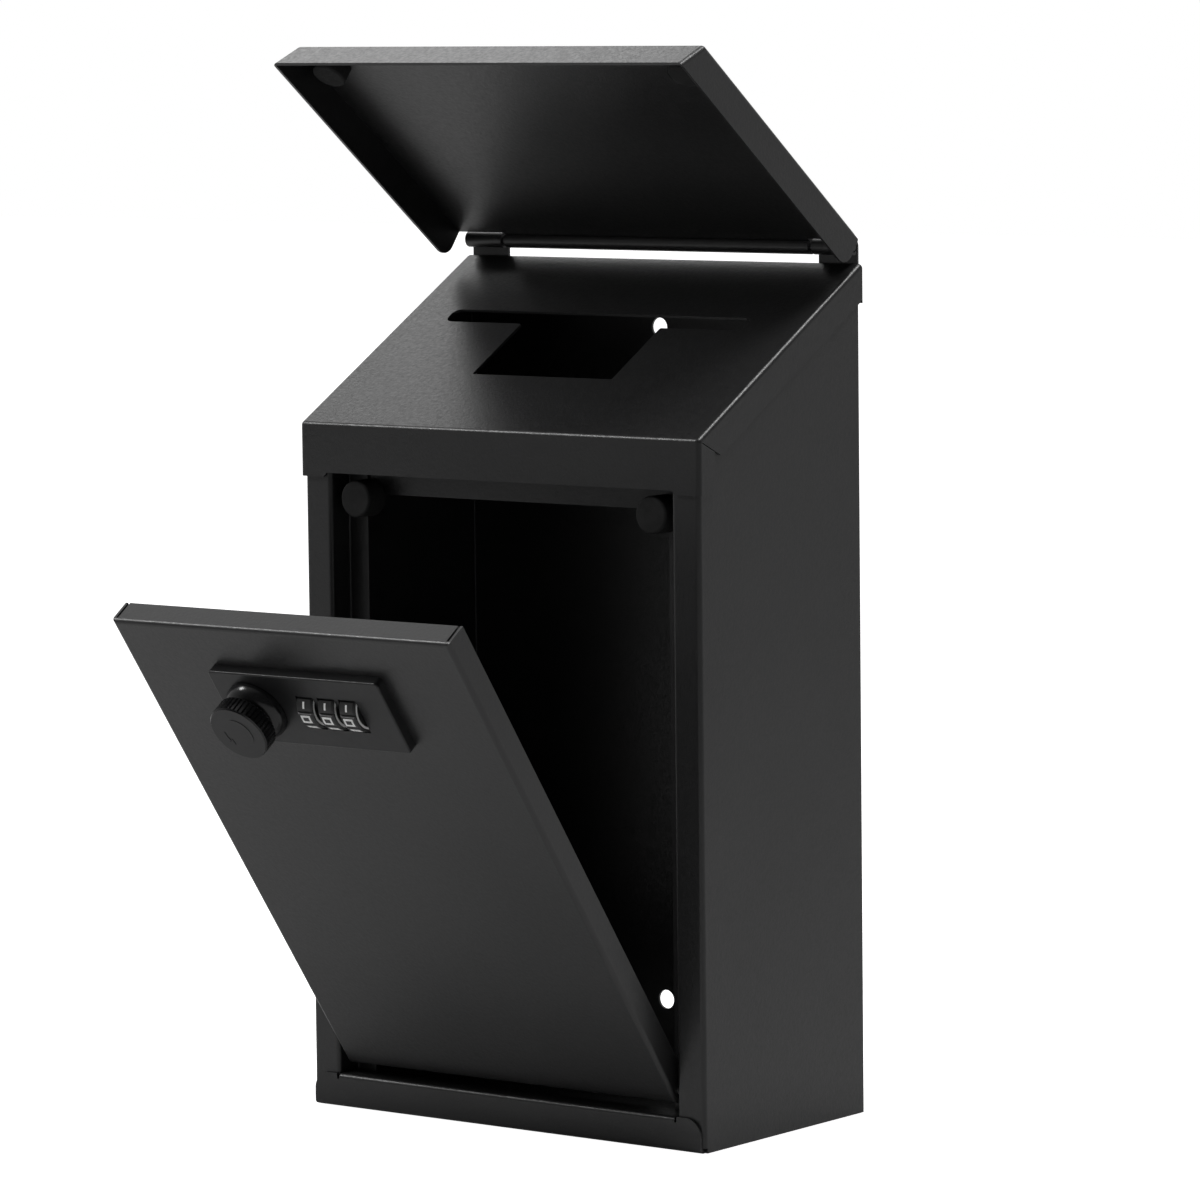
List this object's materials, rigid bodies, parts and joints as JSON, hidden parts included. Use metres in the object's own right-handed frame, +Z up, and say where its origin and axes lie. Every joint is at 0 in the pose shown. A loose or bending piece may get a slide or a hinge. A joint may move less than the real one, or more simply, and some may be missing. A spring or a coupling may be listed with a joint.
{
  "type": "donation box",
  "caption": "Wall-hung black sheet steel drop box with a T slot in its sloping top, a hinged lid over it, a bottom-hinged front door and a dial combination lock.",
  "frame": {"origin": "centre of the base, on the surface the box stands on", "axes": "+Z up, +X to the right of a person facing the front, +Y to the back, where the wall is"},
  "size_m": [0.1442, 0.1745, 0.3037],
  "materials": {
    "powder_coat": "matte powder coat",
    "lock_black": "satin black",
    "dial_black": "satin black",
    "rubber": "matte",
    "steel": "zinc plated"
  },
  "bodies": {
    "box": {"body_wrap": "powder_coat", "base_panel": "powder_coat", "top_cap": "powder_coat", "top_stop_rail": "powder_coat", "lid_hinge_pin": "powder_coat", "door_pivot_pin_left": "steel", "door_pivot_pin_right": "steel", "door_bumper_left": "rubber", "door_bumper_right": "rubber"},
    "lid": {"lid_pan": "powder_coat", "lid_bumper_left": "rubber", "lid_bumper_right": "rubber"},
    "door": {"door_pan": "powder_coat", "lock_body": "lock_black", "lock_rear_cover": "lock_black", "lock_cover_screws": "steel", "lock_fixing_screws": "steel", "dial_axle": "steel", "dial_detent_spring": "steel"},
    "knob": {"lock_knob": "lock_black", "knob_spindle": "steel", "lock_cam": "steel", "cam_screw": "steel"},
    "dial_1": {"number_dial_1": "dial_black"},
    "dial_2": {"number_dial_2": "dial_black"},
    "dial_3": {"number_dial_3": "dial_black"},
    "code_lever": {"code_change_lever": "dial_black"}
  },
  "joints": [
    {"name": "lid_hinge", "type": "hinge", "parent": "box", "child": "lid", "pos_m": [0, 0.03705, 0.24629], "axis": [-1, 0, 0], "range_deg": [-67.4, 52.6]},
    {"name": "door_hinge", "type": "hinge", "parent": "box", "child": "door", "pos_m": [0, -0.0351, 0.0162], "axis": [1, 0, 0], "range_deg": [-35.6, 74.4]},
    {"name": "knob_turn", "type": "hinge", "parent": "door", "child": "knob", "pos_m": [-0.0177, -0.11914, 0.12809], "axis": [0, -0.8131, -0.5821], "range_deg": [0, 90]},
    {"name": "dial_1_turn", "type": "hinge", "parent": "door", "child": "dial_1", "pos_m": [0.00125, -0.11825, 0.12873], "axis": [1, 0, 0], "continuous": true},
    {"name": "dial_2_turn", "type": "hinge", "parent": "door", "child": "dial_2", "pos_m": [0.0087, -0.11825, 0.12873], "axis": [1, 0, 0], "continuous": true},
    {"name": "dial_3_turn", "type": "hinge", "parent": "door", "child": "dial_3", "pos_m": [0.01615, -0.11825, 0.12873], "axis": [1, 0, 0], "continuous": true},
    {"name": "code_lever_slide", "type": "slide", "parent": "door", "child": "code_lever", "axis": [1, 0, 0], "range_m": [-0.003, 0]}
  ]
}
